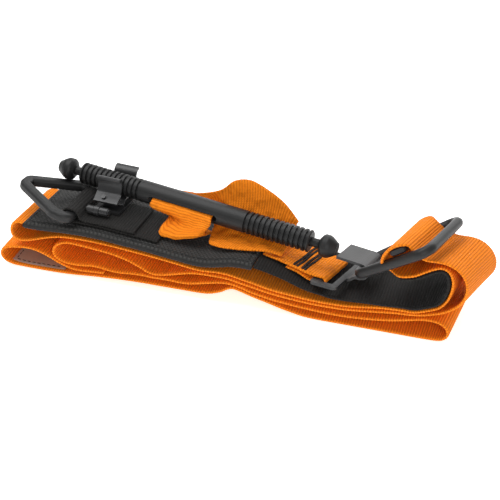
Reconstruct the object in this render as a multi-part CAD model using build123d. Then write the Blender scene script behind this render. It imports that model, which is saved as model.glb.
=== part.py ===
from build123d import *
import math
import os

os.makedirs("parts", exist_ok=True)

# ---------------------------------------------------------------------------
# Folded windlass tourniquet. Millimetres, +Z up, +X along the folded strap
# towards the buckle, +Y across the strap from its front edge to its back edge.
# The strap is stowed as a flat accordion under the padded base.
# Pieces are drawn in a layout frame and moved by LAYOUT_SHIFT when saved.
# ---------------------------------------------------------------------------

# driving dimensions
STRAP_W = 38.0          # long webbing
STRAP_T = 1.3
HALF = STRAP_W / 2
PAD_W = 40.0            # mesh sleeve, outside
PAD_T = 3.9
BASE_WEB_T = 1.4        # base webbing, as wide as the strap
KEEPER_W = 25.4
KEEPER_T = 1.4
BAND_T = 1.2            # inner band
TAB_W = 25.0            # stitched tab
TAB_T = 1.0
THREAD_T = 0.35
ROD_R = 5.0             # windlass rod
RING_BAR_W = 5.0        # tri ring bar, across
RING_BAR_H = 4.4        # tri ring bar, thick
BAR_R = 4.6 / 2         # buckle frame bar
BED = 2.48              # height of the layout plane above the table
BACK_SCALE = 0.80       # the stack's height above the table, back edge to front
LAYOUT_SHIFT = (7.28, 0.805, BED)       # brings the box centre to the origin


# ---------------------------------------------------------------------------
# Helpers
# ---------------------------------------------------------------------------
def catmull(points, steps):
    """Smooth a control polyline of equal-length tuples."""
    smooth = []
    last = len(points) - 1
    for i in range(last):
        spans = list(zip(points[max(i - 1, 0)], points[i], points[i + 1],
                         points[min(i + 2, last)]))
        for k in range(steps):
            u = k / steps
            smooth.append(tuple(
                0.5 * (2 * b + (c - a) * u + (2 * a - 5 * b + 4 * c - d) * u * u
                       + (3 * b - a - 3 * c + d) * u ** 3)
                for a, b, c, d in spans))
    smooth.append(tuple(points[-1]))
    return smooth


def back_height(z):
    """Height of the back edge where the front edge is at z."""
    return (z + BED) * BACK_SCALE - BED


def both_edges(points):
    """Give (x, z) points a back edge; (x, z, x, z) points keep theirs."""
    return [p if len(p) == 4 else (p[0], p[1], p[0], back_height(p[1])) for p in points]


def line_at(points, y):
    """Centre line (x, z) of a ribbon at y, from its front and back edges."""
    u = (y + HALF) / STRAP_W
    return [(a + (c - a) * u, b + (d - b) * u) for a, b, c, d in points]


def offset_line(line, distance):
    """Offset to the left of travel along the line."""
    moved = []
    for i, (x, z) in enumerate(line):
        before = line[max(i - 1, 0)]
        after = line[min(i + 1, len(line) - 1)]
        dx, dz = after[0] - before[0], after[1] - before[1]
        length = math.hypot(dx, dz)
        moved.append((x - dz / length * distance, z + dx / length * distance))
    return moved


def height_at(line, x):
    """Height of a line whose x rises along it."""
    for (xa, za), (xb, zb) in zip(line, line[1:]):
        if xa <= x <= xb:
            return za + (zb - za) * (x - xa) / (xb - xa)


def skin(upper, lower):
    """Closed triangulated solid between an upper and a lower grid of points."""
    rows, cols = len(upper), len(upper[0])
    triangles = []
    for i in range(rows - 1):
        for j in range(cols - 1):
            a, b, c, d = upper[i][j], upper[i + 1][j], upper[i + 1][j + 1], upper[i][j + 1]
            triangles += [(a, b, c), (a, c, d)]
            a, b, c, d = lower[i][j], lower[i + 1][j], lower[i + 1][j + 1], lower[i][j + 1]
            triangles += [(a, c, b), (a, d, c)]
    for i in range(rows - 1):
        for j in (0, cols - 1):
            a, b, c, d = upper[i][j], upper[i + 1][j], lower[i + 1][j], lower[i][j]
            triangles += [(a, b, c), (a, c, d)]
    for j in range(cols - 1):
        for i in (0, rows - 1):
            a, b, c, d = upper[i][j], upper[i][j + 1], lower[i][j + 1], lower[i][j]
            triangles += [(a, b, c), (a, c, d)]
    faces = [Face(Wire.make_polygon(list(t), close=True)) for t in triangles]
    return Solid(Shell(faces))


def ribbon(points, thickness, y0, y1, steps=4):
    """Flat webbing ruled from its edge at y0 to its edge at y1."""
    smooth = catmull(both_edges(points), steps)
    line0, line1 = line_at(smooth, y0), line_at(smooth, y1)

    def side(distance):
        return [[Vector(a[0], y0, a[1]), Vector(b[0], y1, b[1])]
                for a, b in zip(offset_line(line0, distance), offset_line(line1, distance))]

    return skin(side(thickness / 2), side(-thickness / 2))


def smooth_rows(rows, steps):
    """Smooth rows of points along the sheet by steps, then across it by two."""
    columns = [catmull([tuple(p) for p in column], steps) for column in zip(*rows)]
    return [[Vector(*p) for p in catmull(row, 2)] for row in zip(*columns)]


def sheet(rows, thickness):
    """Thin soft sheet through rows of Vectors, each row running across it."""
    upper, lower = [], []
    for i, row in enumerate(rows):
        before = rows[max(i - 1, 0)]
        after = rows[min(i + 1, len(rows) - 1)]
        up, down = [], []
        for j, p in enumerate(row):
            along = after[j] - before[j]
            across = row[min(j + 1, len(row) - 1)] - row[max(j - 1, 0)]
            offset = along.cross(across).normalized() * (thickness / 2)
            up.append(p + offset)
            down.append(p - offset)
        upper.append(up)
        lower.append(down)
    return skin(upper, lower)


def bent_strip(path, thickness, start, end, along_x):
    """Bent sheet: profile (y, z) extruded along x, or (x, z) extruded along y."""
    line = catmull(path, 3)
    outline = offset_line(line, thickness / 2) + offset_line(line, -thickness / 2)[::-1]
    if along_x:
        points = [Vector(start, a, b) for a, b in outline]
        direction = (1, 0, 0)
    else:
        points = [Vector(a, start, b) for a, b in outline]
        direction = (0, 1, 0)
    face = make_face(Polyline(*points, close=True))
    return extrude(face, amount=end - start, dir=direction)


def square_to(vector, axis):
    """Unit vector: the part of vector square to a unit axis."""
    return (vector - axis * vector.dot(axis)).normalized()


def largest(shape):
    return max(shape.solids(), key=lambda solid: solid.volume)


def closed_sweep(wire, section):
    """Sweep a section drawn round the wire's start along a closed wire."""
    plane = Plane(origin=wire @ 0, z_dir=wire % 0)
    return sweep(plane * section, path=wire, transition=Transition.ROUND)


# ---------------------------------------------------------------------------
# Long webbing. Tables are the centre line of the front edge (x, z), or of the
# front and back edges (x, z, x, z), in order along the strap.
# ---------------------------------------------------------------------------
# end inside the sleeve, left end loop, then the run to the right under the sleeve
STRAP_START = [
    (-45.0, 20.30), (-57.6, 21.55), (-67.0, 22.60), (-76.6, 22.95), (-86.3, 22.80),
    (-96.2, 22.05), (-101.5, 21.95), (-106.5, 22.70), (-109.4, 21.40), (-110.8, 18.20),
    (-110.4, 15.10), (-108.6, 13.40), (-105.6, 13.00), (-101.0, 14.10), (-96.0, 15.90),
    (-91.0, 17.50), (-86.0, 18.50), (-80.0, 18.90), (-72.0, 18.90), (-62.5, 18.30),
    (-53.0, 17.40), (-43.7, 16.40), (-34.4, 15.20), (-25.1, 13.80), (-20.5, 13.40),
    (-15.9, 13.70), (-11.3, 13.95), (-6.8, 13.50), (2.3, 11.60), (11.3, 9.60),
    (20.3, 8.60), (29.2, 7.80), (38.0, 7.70), (46.8, 8.15),
]
# inner curl at the right
STRAP_CURL = [
    (59.6, 10.20), (68.0, 10.80), (74.0, 11.00, 74.5, 8.60),
    (79.6, 13.10, 81.0, 9.60), (84.0, 15.50, 87.0, 10.90), (86.7, 19.40, 91.3, 13.40),
    (88.0, 23.80, 93.6, 17.00), (88.4, 28.60, 93.2, 20.80), (87.4, 32.60, 90.8, 23.70),
    (85.7, 34.80, 87.4, 24.80), (83.3, 35.60, 84.2, 24.60), (80.6, 34.80, 81.2, 23.90),
    (77.0, 32.60, 78.0, 23.10), (72.0, 29.40, 74.4, 22.50), (66.0, 27.60, 71.0, 22.60),
]
# round the slider, then the big loop outside the curl
STRAP_BIG_LOOP = [
    (61.0, 27.20, 68.4, 23.40), (58.3, 29.20, 67.2, 25.30), (58.1, 32.60, 67.4, 28.00),
    (58.9, 36.90, 68.2, 31.50), (61.2, 40.60, 70.6, 34.10), (64.7, 43.20, 73.7, 35.50),
    (68.3, 43.40, 76.9, 35.10), (70.8, 41.40, 79.2, 32.40), (73.8, 39.30, 81.8, 29.60),
    (77.0, 38.30, 84.6, 27.90), (80.6, 38.40, 88.0, 27.70), (84.4, 38.20, 91.6, 27.70),
    (88.0, 36.90, 95.2, 26.90), (90.9, 34.80, 98.8, 24.70), (93.1, 31.60, 101.6, 21.20),
    (94.2, 27.50, 103.0, 17.00), (93.8, 23.00, 102.6, 12.70), (92.0, 18.80, 100.0, 9.20),
    (88.6, 15.30, 95.4, 7.60), (84.7, 12.80, 90.0, 7.50), (80.8, 11.30, 84.6, 7.75),
    (76.5, 10.00, 78.6, 7.45), (71.5, 9.30), (66.0, 8.90),
]
# accordion runs to the left, the right and the left again, and the tail
STRAP_ACCORDION = [
    (59.6, 8.00), (46.8, 6.30), (38.0, 5.85), (29.2, 5.90), (20.3, 6.55),
    (11.3, 7.55), (2.3, 9.30), (-2.3, 10.20), (-6.8, 11.20), (-11.4, 11.60),
    (-15.9, 11.60), (-20.5, 11.50), (-25.2, 10.90), (-29.9, 9.70), (-34.6, 8.30),
    (-39.4, 7.10), (-44.1, 6.95), (-48.7, 9.20), (-53.4, 11.40), (-58.0, 12.90),
    (-62.7, 14.00), (-69.9, 14.90), (-77.0, 15.60), (-81.8, 15.90), (-85.3, 15.40),
    (-88.4, 13.90), (-90.4, 11.60), (-91.0, 9.20), (-90.0, 6.90), (-87.4, 5.20),
    (-83.6, 4.40), (-78.3, 4.50), (-72.2, 5.30), (-68.4, 5.10), (-63.6, 4.40),
    (-58.8, 4.30), (-53.9, 4.80), (-49.1, 5.10), (-44.3, 4.90), (-39.6, 4.95),
    (-34.8, 4.95), (-30.1, 4.80), (-26.0, 5.10), (-20.5, 6.40), (-15.9, 7.60),
    (-11.4, 8.60), (-6.8, 8.80), (-2.3, 7.90), (2.3, 6.40), (11.3, 4.50),
    (20.4, 3.40), (29.3, 2.70), (38.2, 2.30), (47.0, 2.50), (56.0, 3.30),
    (64.3, 4.60), (72.6, 6.60), (76.8, 7.70, 78.0, 5.70), (80.9, 8.10, 83.4, 6.00),
    (84.6, 7.60, 88.6, 5.60), (87.2, 6.00, 92.2, 4.30), (88.6, 3.50, 93.8, 2.30),
    (88.4, 0.90, 93.4, 0.10), (86.6, -0.90, 91.0, -1.35), (83.5, -1.58, 86.8, -1.76),
    (77.6, -1.78, 79.0, -1.78), (69.0, -1.78, 69.5, -1.78), (60.0, -1.78, 60.0, -1.78),
    (51.6, -1.78, 51.6, -1.78), (42.8, -1.78, 42.8, -1.78), (34.0, -1.78, 34.0, -1.78),
    (26.5, -1.45), (20.5, -0.30), (15.9, 0.75), (11.4, 2.05), (6.8, 3.30), (2.3, 4.55),
    (-2.3, 6.00), (-5.8, 6.70), (-8.6, 5.70), (-11.5, 3.80), (-16.2, 2.00),
    (-20.9, 1.35), (-30.0, 1.25), (-39.8, 1.15), (-49.0, 1.10), (-59.0, 0.75),
    (-66.0, 0.30), (-73.7, -0.30), (-81.2, -1.05), (-88.7, -1.50), (-98.8, -1.65),
    (-106.5, -1.60), (-112.0, -1.35), (-115.6, -0.20), (-117.4, 1.80), (-117.4, 4.60),
    (-115.4, 6.90), (-111.5, 8.20), (-107.0, 8.90), (-102.4, 9.10), (-97.6, 8.10),
    (-92.8, 6.00), (-88.1, 3.60), (-83.3, 1.90), (-78.5, 1.50), (-73.0, 1.90), (-67.0, 2.35),
]


def make_main_strap(frame_room, slider_room):
    """Strap whose edges give way where the buckle frame and the slider pass."""
    path = STRAP_START + STRAP_CURL + STRAP_BIG_LOOP + STRAP_ACCORDION
    return largest(ribbon(path, STRAP_T, -HALF, HALF) - frame_room - slider_room)


# label lying inside the left end loop of the tail: (x, z)
LABEL_PATH = [(-112.6, 0.75), (-110.6, 0.05), (-106.2, -0.45), (-98.5, -0.45),
              (-90.8, -0.30), (-86.5, -0.05)]
LABEL_T = 0.3


def make_label_patch():
    return ribbon(LABEL_PATH, LABEL_T, -HALF + 1.0, HALF - 12.0)


# ---------------------------------------------------------------------------
# Mesh sleeve round the strap's upper end
# ---------------------------------------------------------------------------
# underside of the sleeve at the front edge: (x, z)
PAD_BOTTOM = [
    (-104.0, 20.35), (-101.2, 20.10), (-96.2, 20.15), (-86.3, 20.80), (-76.6, 21.00),
    (-67.0, 20.70), (-57.6, 19.65), (-48.2, 18.75), (-38.9, 17.55), (-29.7, 16.30),
    (-25.1, 15.70), (-20.5, 15.45), (-15.9, 16.05), (-11.3, 17.10), (-6.7, 18.20),
    (-1.2, 18.55), (3.2, 18.30),
]
PAD_MID = [(x, z + PAD_T / 2) for x, z in PAD_BOTTOM]
POCKET_LEFT = (-108.0, 22.60)           # open end, outside the sleeve
POCKET_RIGHT = (-42.6, 19.95)           # blind end
POCKET_LAST_X = -44.0                   # the pocket follows the sleeve up to here
POCKET_T = STRAP_T + 1.0
POCKET_SIDE_GAP = 0.25


def above_pad(x, gap):
    """Front and back edge point standing gap above the sleeve's mid line."""
    z = height_at(PAD_MID, x)
    return (x, z + gap, x, back_height(z) + gap)


def make_pad_sleeve():
    pad = ribbon(PAD_MID, PAD_T, -PAD_W / 2, PAD_W / 2)
    pocket_mid = [POCKET_LEFT] + [p for p in PAD_MID if p[0] < POCKET_LAST_X] + [POCKET_RIGHT]
    pocket_half = HALF + POCKET_SIDE_GAP
    return largest(pad - ribbon(pocket_mid, POCKET_T, -pocket_half, pocket_half))


def make_sleeve_bartack():
    """Bar tack on the sleeve near its front edge."""
    gap = PAD_T / 2 + THREAD_T / 2 + 0.03
    seam = [above_pad(x, gap) for x in (-52.9, -51.4, -49.9, -48.4)]
    return ribbon(seam, THREAD_T, -18.6, -16.9, 2)


# ---------------------------------------------------------------------------
# Base webbing from the sleeve to the inside of the curl
# ---------------------------------------------------------------------------
# run from the sleeve to the curl: front edge (x, z), extra drop of the back edge
WEB_RUN_TABLE = [
    (3.7, 20.20, 0.0), (6.8, 19.60, 0.0), (11.2, 18.50, 0.0), (15.7, 17.20, 0.0),
    (20.1, 15.60, 0.3), (24.6, 13.80, 0.5), (29.0, 12.60, 0.8), (33.5, 11.90, 1.25),
    (37.9, 11.10, 1.2), (42.3, 11.00, 1.0), (46.6, 11.20, 0.8), (52.0, 11.60, 0.5),
]
WEB_RUN = [(x, z, x, back_height(z) - drop) for x, z, drop in WEB_RUN_TABLE]
WEB_START_X = WEB_RUN[0][0]
SLEEVE_LAST_X = 3.1     # the sleeve's height is read no further right than this
CURL_OFFSET = (STRAP_T + BASE_WEB_T) / 2 + 0.30


def make_base_webbing(frame_room):
    """The webbing follows the strap's curl inside it at a constant distance."""
    curl = both_edges(STRAP_CURL)
    front = offset_line(line_at(curl, -HALF), CURL_OFFSET)
    back = offset_line(line_at(curl, HALF), CURL_OFFSET)
    path = WEB_RUN + [f + b for f, b in zip(front, back)]
    return largest(ribbon(path, BASE_WEB_T, -HALF, HALF) - frame_room)


def web_top(x, y):
    """Top of the base webbing or sleeve under a point."""
    if x < WEB_START_X:
        line = line_at(both_edges(PAD_MID), y)
        return height_at(line, min(x, SLEEVE_LAST_X)) + PAD_T / 2
    return height_at(line_at(WEB_RUN, y), x) + BASE_WEB_T / 2


# ---------------------------------------------------------------------------
# Windlass rod: grooved grips at both ends, neck and knob, slot near mid length
# ---------------------------------------------------------------------------
ROD_LEFT = Vector(-93.2, 12.3, 35.0)    # centre of the left knob
ROD_RIGHT = Vector(31.9, -4.4, 27.2)    # centre of the right knob
ROD_SPAN = ROD_RIGHT - ROD_LEFT
NECK_R = 2.0
KNOB_R = 5.1
GRIP_INSET = 6.7        # knob centre to the outer end of the grip
GROOVE_PITCH = 2.35
GROOVE_COUNT = 13
GROOVE_DEPTH = 0.8
SLOT_LEN = 34.0
SLOT_H = 3.0
SLOT_SHIFT = -3.5       # slot centre from the rod centre
SLOT_CUT = 3 * ROD_R    # length of the cutter across the rod


def rod_point(x):
    """Point on the rod axis at layout x."""
    return ROD_LEFT + ROD_SPAN * ((x - ROD_LEFT.X) / ROD_SPAN.X)


def rod_profile():
    """Right half of the outline: (distance from centre along the rod, radius)."""
    knob = ROD_SPAN.length / 2
    grip_end = knob - GRIP_INSET
    points = [(0.0, ROD_R)]
    s = grip_end - GROOVE_COUNT * GROOVE_PITCH
    for _ in range(GROOVE_COUNT):
        points += [(s, ROD_R), (s + 0.35, ROD_R - GROOVE_DEPTH),
                   (s + 0.95, ROD_R - GROOVE_DEPTH), (s + 1.30, ROD_R)]
        s += GROOVE_PITCH
    points += [(grip_end - 0.5, ROD_R), (grip_end, ROD_R - 0.6), (grip_end + 0.01, NECK_R),
               (knob - 2.9, NECK_R), (knob - 2.8, NECK_R + 0.9), (knob - 1.5, KNOB_R - 0.4),
               (knob - 0.8, KNOB_R), (knob + 1.2, KNOB_R), (knob + 2.4, KNOB_R - 0.5),
               (knob + 5.3, 2.7)]
    return points


def make_windlass_rod():
    profile = rod_profile()
    outline = [(-s, r) for s, r in reversed(profile[1:])] + profile
    closed = [(outline[0][0], 0.0)] + outline + [(outline[-1][0], 0.0)]
    rod = revolve(make_face(Polyline(*closed, close=True)), Axis.X, 360)
    straight = SLOT_LEN - SLOT_H
    slot = Box(straight, SLOT_CUT, SLOT_H)
    for x in (straight / 2, -straight / 2):
        slot += Pos(x, 0, 0) * Rot(90, 0, 0) * Cylinder(SLOT_H / 2, SLOT_CUT)
    rod = rod - Pos(SLOT_SHIFT, 0, 0) * slot
    axis = ROD_SPAN.normalized()
    plane = Plane(origin=(ROD_LEFT + ROD_RIGHT) * 0.5, x_dir=axis,
                  z_dir=square_to(Vector(0, 0, 1), axis))
    return plane.location * rod


# ---------------------------------------------------------------------------
# Keeper webbing: two layers on the sleeve, looped round the tri ring's base bar
# ---------------------------------------------------------------------------
RING_X, RING_Z = -82.0, 29.40           # base bar centre at the front edge
LIE = 5.60                              # drop of the pad from front to back edge
ACROSS_KEEPER = Vector(0, STRAP_W, -LIE).normalized()
KEEPER_Y0 = -16.0
KEEPER_LOW = PAD_T / 2 + KEEPER_T / 2 + 0.24        # lower layer above the pad's mid line
KEEPER_LOOP_R = RING_BAR_H / 2 + KEEPER_T / 2 + 0.45
LOOP_STRETCH = 1.12                     # loop width to loop height
KEEPER_LOW_XS = (-41.2, -44.0, -48.2, -52.9, -57.6, -62.3, -67.0)
# upper layer: x, gap to the lower layer
KEEPER_TOP = [(-75.4, 0.20), (-72.5, 0.17), (-67.6, 0.12), (-62.3, 0.10), (-57.0, 0.10),
              (-52.0, 0.10)]


def make_keeper_webbing():
    lower = [above_pad(x, KEEPER_LOW) for x in KEEPER_LOW_XS]
    lower += [above_pad(-72.5, KEEPER_LOW + 0.10)]
    loop = [(-78.4, 26.10)]
    for k in range(9):
        angle = math.radians(-90 - 22.5 * k)
        loop.append((RING_X + KEEPER_LOOP_R * LOOP_STRETCH * math.cos(angle),
                     RING_Z + KEEPER_LOOP_R * math.sin(angle)))
    loop += [(-79.3, 32.10), (-78.1, 30.40), (-77.4, 28.40)]
    tilted_loop = [(x, z, x, z - LIE) for x, z in loop]
    upper = [above_pad(x, KEEPER_LOW + KEEPER_T + gap) for x, gap in KEEPER_TOP]
    return ribbon(lower + tilted_loop + upper, KEEPER_T, KEEPER_Y0, KEEPER_Y0 + KEEPER_W)


# ---------------------------------------------------------------------------
# Tri ring: rounded triangle, base bar in the keeper loop, apex to the left
# ---------------------------------------------------------------------------
RING_HALF = 16.3        # half length of the base bar, to the outline's corners
RING_REACH = 27.4       # base bar to apex
RING_RISE = 13.5        # degrees the apex stands up from the pad
RING_APEX_HALF = 2.6
RING_SHOULDER_X = -7.0
RING_SHOULDER_HALF = RING_HALF - 0.7


def make_tri_ring():
    outline = FilletPolyline(
        (0, -RING_HALF), (0, RING_HALF), (RING_SHOULDER_X, RING_SHOULDER_HALF),
        (-RING_REACH, RING_APEX_HALF), (-RING_REACH, -RING_APEX_HALF),
        (RING_SHOULDER_X, -RING_SHOULDER_HALF), radius=2.55, close=True)
    body = closed_sweep(Wire(outline.edges()), RectangleRounded(RING_BAR_W, RING_BAR_H, 1.6))
    mid_y = KEEPER_Y0 + KEEPER_W / 2
    origin = Vector(RING_X, mid_y, RING_Z - LIE * (mid_y + HALF) / STRAP_W)
    flat = Plane(origin=origin, x_dir=Vector(1, 0, 0),
                 z_dir=Vector(1, 0, 0).cross(ACROSS_KEEPER))
    return Plane(flat.location * Rot(0, RING_RISE, 0)).location * body


# ---------------------------------------------------------------------------
# Windlass clip: base plate with two knuckles, saddle, fixed rear jaw (+y),
# hinged front jaw (-y) on a tang and pin. Local x is along the rod, origin on
# the rod axis, local z square to the keeper.
# ---------------------------------------------------------------------------
CLIP_X = -69.0
CLIP_W = 11.0
CLIP_T = 1.0
CLIP_X_DIR = Vector(1.0, -0.02, -0.04).normalized()
CLIP_ACROSS = square_to(ACROSS_KEEPER, CLIP_X_DIR)
CLIP_PLANE = Plane(origin=rod_point(CLIP_X), x_dir=CLIP_X_DIR,
                   z_dir=CLIP_X_DIR.cross(CLIP_ACROSS).normalized())
CLIP_FLOOR = -9.13      # underside of the base plate
PLATE_Z = CLIP_FLOOR + CLIP_T / 2
HINGE_X = -2.3          # middle of the tang, left of the jaws' middle
PIN_Y, PIN_Z = -17.2, -7.08
PIN_R = 0.95
PIN_HOLE_R = PIN_R + 0.05
PIN_HEAD_R, PIN_HEAD_T = 1.5, 0.5
KNUCKLE_R = 1.95
KNUCKLE_SPANS = ((-4.3, -1.35), (1.35, 5.2))        # x from the hinge middle
KNUCKLE_LEAF_Y = -12.8  # where the knuckles' leaves end in the plate
GRIP = ROD_R + 0.95 + CLIP_T / 2        # rod axis to the mid line of a jaw
REAR_RIVETS = ((-2.4, 9.5), (4.2, 9.5))             # x, y
# bent profiles: (y, z)
SADDLE_PATH = [(-5.8, CLIP_FLOOR + 1.0), (-4.8, CLIP_FLOOR + 1.7), (-3.6, -6.30),
               (-1.8, -5.78), (0.0, -5.70), (1.8, -5.78), (3.6, -6.30),
               (4.8, CLIP_FLOOR + 1.7), (5.8, CLIP_FLOOR + 1.0)]
REAR_PATH = [(10.4, CLIP_FLOOR + 1.61), (8.4, CLIP_FLOOR + 1.65), (7.4, CLIP_FLOOR + 2.9),
             (6.9, -4.0), (GRIP + 0.15, -1.2), (GRIP, 1.0), (GRIP + 0.1, 2.2), (7.0, 3.6),
             (8.2, 4.5), (9.8, 4.9)]
JAW_PATH = [(-12.0, -5.10), (-10.4, -4.1), (-8.6, -2.9), (-7.3, -1.6), (-GRIP - 0.25, 0.4),
            (-GRIP - 0.1, 2.4), (-6.9, 4.4), (-8.3, 5.6), (-9.9, 5.5)]
TANG_PATH = [(-16.8, -5.45), (-15.4, -5.55), (-14.2, -5.75), (-12.8, -5.60),
             (-11.2, -5.10), (-9.6, -4.25), (-8.4, -3.40)]
JAW_ROOM_FOOT = (-12.6, -5.43)          # first point of the jaw's room in the tang
JAW_X0, JAW_X1 = -CLIP_W / 2 - 1.0, CLIP_W / 2 - 0.6
TANG_T = 0.7
TANG_W = 2.3
# rivet through the foot of the front jaw and the tang
TANG_RIVET_AT = Pos(HINGE_X, -9.9, -3.80) * Rot(math.degrees(math.atan2(1.2, 1.8)), 0, 0)


def hinge_cylinder(x, radius, length):
    """Cylinder on the hinge axis, centred at x."""
    return Pos(x, PIN_Y, PIN_Z) * Rot(0, 90, 0) * Cylinder(radius, length)


def make_clip_base_and_rear():
    """Base plate, rear jaw and the two rivets that hold them together."""
    plate = Pos(0.4, -1.5, PLATE_Z) * Box(CLIP_W + 1.6, 24.4, CLIP_T)
    plate -= Pos(HINGE_X, -14.4, CLIP_FLOOR) * Box(2.7, 6.0, 4)     # notch for the tang
    knuckles = Part()
    for x0, x1 in KNUCKLE_SPANS:
        length = x1 - x0
        x = HINGE_X + (x0 + x1) / 2
        knuckle = hinge_cylinder(x, KNUCKLE_R, length)
        knuckle += Pos(x, (PIN_Y + KNUCKLE_LEAF_Y) / 2, PLATE_Z) * Box(
            length, KNUCKLE_LEAF_Y - PIN_Y, CLIP_T)
        knuckle -= hinge_cylinder(x, PIN_HOLE_R, length + 2)
        knuckles += knuckle
    base = plate + knuckles + bent_strip(SADDLE_PATH, CLIP_T, -CLIP_W / 2, CLIP_W / 2, True)

    jaw = bent_strip(REAR_PATH, CLIP_T, -CLIP_W / 2 + 1.0, CLIP_W / 2 + 1.0, True)
    rivets = Part()
    for x, y in REAR_RIVETS:
        hole = Pos(x, y, CLIP_FLOOR + 1.0) * Cylinder(0.85, 6)
        jaw -= hole
        base -= hole
        rivet = Pos(x, y, CLIP_FLOOR + 1.20) * Cylinder(0.80, 2.4)
        rivet += Pos(x, y, CLIP_FLOOR + 2.52) * Cylinder(1.1, 0.6)
        rivets += rivet
    return [CLIP_PLANE.location * piece for piece in (base, jaw, rivets)]


def make_clip_front():
    """Front jaw, the tang it is riveted to, and the rivet."""
    jaw = bent_strip(JAW_PATH, CLIP_T, JAW_X0, JAW_X1, True)
    tang = hinge_cylinder(HINGE_X, KNUCKLE_R + 0.25, TANG_W) + bent_strip(
        TANG_PATH, TANG_T, HINGE_X - TANG_W / 2, HINGE_X + TANG_W / 2, True)
    tang -= hinge_cylinder(HINGE_X, PIN_HOLE_R, 6)
    tang -= bent_strip([JAW_ROOM_FOOT] + JAW_PATH[1:], CLIP_T + 0.04,
                       JAW_X0 - 1, JAW_X1 + 1, True)
    tang -= jaw
    tang = largest(tang)
    hole = TANG_RIVET_AT * Cylinder(0.62, 8)
    jaw -= hole
    tang = largest(tang - hole)
    rivet = TANG_RIVET_AT * (Cylinder(0.58, 2.6) + Pos(0, 0, 1.0) * Cylinder(1.05, 0.7))
    return [CLIP_PLANE.location * piece for piece in (jaw, tang, rivet)]


def make_clip_pin():
    """Hinge pin with a head at each end."""
    pin = Pos(0, 0, 0.4) * Cylinder(PIN_R, 9.9)
    for x in (5.5, -4.6):
        pin += Pos(0, 0, x) * Cylinder(PIN_HEAD_R, PIN_HEAD_T)
    return CLIP_PLANE.location * (Pos(HINGE_X, PIN_Y, PIN_Z) * Rot(0, 90, 0) * pin)


# ---------------------------------------------------------------------------
# Hook plate: one bent sheet. Its slotted foot lies at the left over the base
# webbing, the sheet turns over at the right and its tongue comes back above
# the hook bar. Local y runs along the bar.
# ---------------------------------------------------------------------------
BUCKLE_ACROSS = Vector(0.208, 0.957, -0.203).normalized()
HOOK_ORIGIN = Vector(50.3, -2.5, 19.1)              # middle of the hook bar
HOOK_X_DIR = square_to(Vector(0.977, -0.205, 0.03), BUCKLE_ACROSS)
HOOK_Z_DIR = HOOK_X_DIR.cross(BUCKLE_ACROSS).normalized()
HOOK_PLANE = Plane(origin=HOOK_ORIGIN, x_dir=HOOK_X_DIR, z_dir=HOOK_Z_DIR)
HOOK_T = 1.2
FOLD_R = BAR_R + 0.25 + HOOK_T / 2
FOLD_DIAGONAL = FOLD_R * 0.72
FOOT_Z = -5.35
FOOT_Y0, FOOT_Y1 = -20.0, 13.2
FOOT_MID_Y = (FOOT_Y0 + FOOT_Y1) / 2
FOOT_LEN = FOOT_Y1 - FOOT_Y0
TONGUE_HALF = 8.0
# from the foot round the bar to the tongue's tip: (x, z)
TONGUE_PATH = [
    (-6.4, FOOT_Z), (-4.6, FOOT_Z + 0.35), (-2.4, -FOLD_R - 0.25), (0.0, -FOLD_R),
    (FOLD_DIAGONAL, -FOLD_DIAGONAL), (FOLD_R, 0.0), (FOLD_DIAGONAL, FOLD_DIAGONAL),
    (0.0, FOLD_R), (-3.0, FOLD_R + 0.15), (-11.7, FOLD_R + 0.55)]


def make_hook_plate():
    foot = Pos(-12.1, FOOT_MID_Y, FOOT_Z) * Box(12.4, FOOT_LEN, HOOK_T)
    foot = fillet(foot.edges().filter_by(Axis.Z), 2.0)
    foot -= Pos(-11.2, FOOT_MID_Y, FOOT_Z) * Box(5.0, FOOT_LEN - 6.4, 6)
    tongue = bent_strip(TONGUE_PATH, HOOK_T, -TONGUE_HALF, TONGUE_HALF, False)
    return HOOK_PLANE.location * (foot + tongue)


# ---------------------------------------------------------------------------
# Buckle frame: round bar bent to a trapezoid, and the slider bar lying on its
# side bars, inside the strap's wrap
# ---------------------------------------------------------------------------
CROSS_FRONT = Vector(77.0, -22.0, 44.8)             # front corner of the cross bar
CROSS_BAR_W = 43.6
HOOK_BAR_W = 22.0
FRAME_CORNER_R = 4.5
FRAME_ROOM = 0.12       # clearance round the frame bar in the webbing
SLIDER_W = 7.4
SLIDER_T = 2.9
SLIDER_HALF = 18.4
SLIDER_INSET = 13.9     # slider to cross bar
SLIDER_ROOM = 0.1       # clearance round the slider in the strap

FRAME_REACH = CROSS_FRONT - HOOK_ORIGIN
SLIDER_X_DIR = square_to(FRAME_REACH, BUCKLE_ACROSS)
SLIDER_Z_DIR = SLIDER_X_DIR.cross(BUCKLE_ACROSS).normalized()
SLIDER_PLANE = Plane(
    origin=(HOOK_ORIGIN + SLIDER_X_DIR * (FRAME_REACH.dot(SLIDER_X_DIR) - SLIDER_INSET)
            + SLIDER_Z_DIR * (BAR_R + SLIDER_T / 2 + 0.08)
            + BUCKLE_ACROSS * (FRAME_REACH.dot(BUCKLE_ACROSS) + CROSS_BAR_W / 2)),
    x_dir=SLIDER_X_DIR, z_dir=SLIDER_Z_DIR)


def frame_tube(radius):
    hook_half = BUCKLE_ACROSS * (HOOK_BAR_W / 2)
    line = FilletPolyline(HOOK_ORIGIN - hook_half, CROSS_FRONT,
                          CROSS_FRONT + BUCKLE_ACROSS * CROSS_BAR_W,
                          HOOK_ORIGIN + hook_half, radius=FRAME_CORNER_R, close=True)
    return closed_sweep(Wire(line.edges()), Circle(radius))


def slider_blank(room, corner_r):
    """Rounded bar along local y, grown by room on every side."""
    section = RectangleRounded(SLIDER_W + 2 * room, SLIDER_T + 2 * room, corner_r)
    return Rot(90, 0, 0) * extrude(section, amount=SLIDER_HALF + room, both=True)


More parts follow.
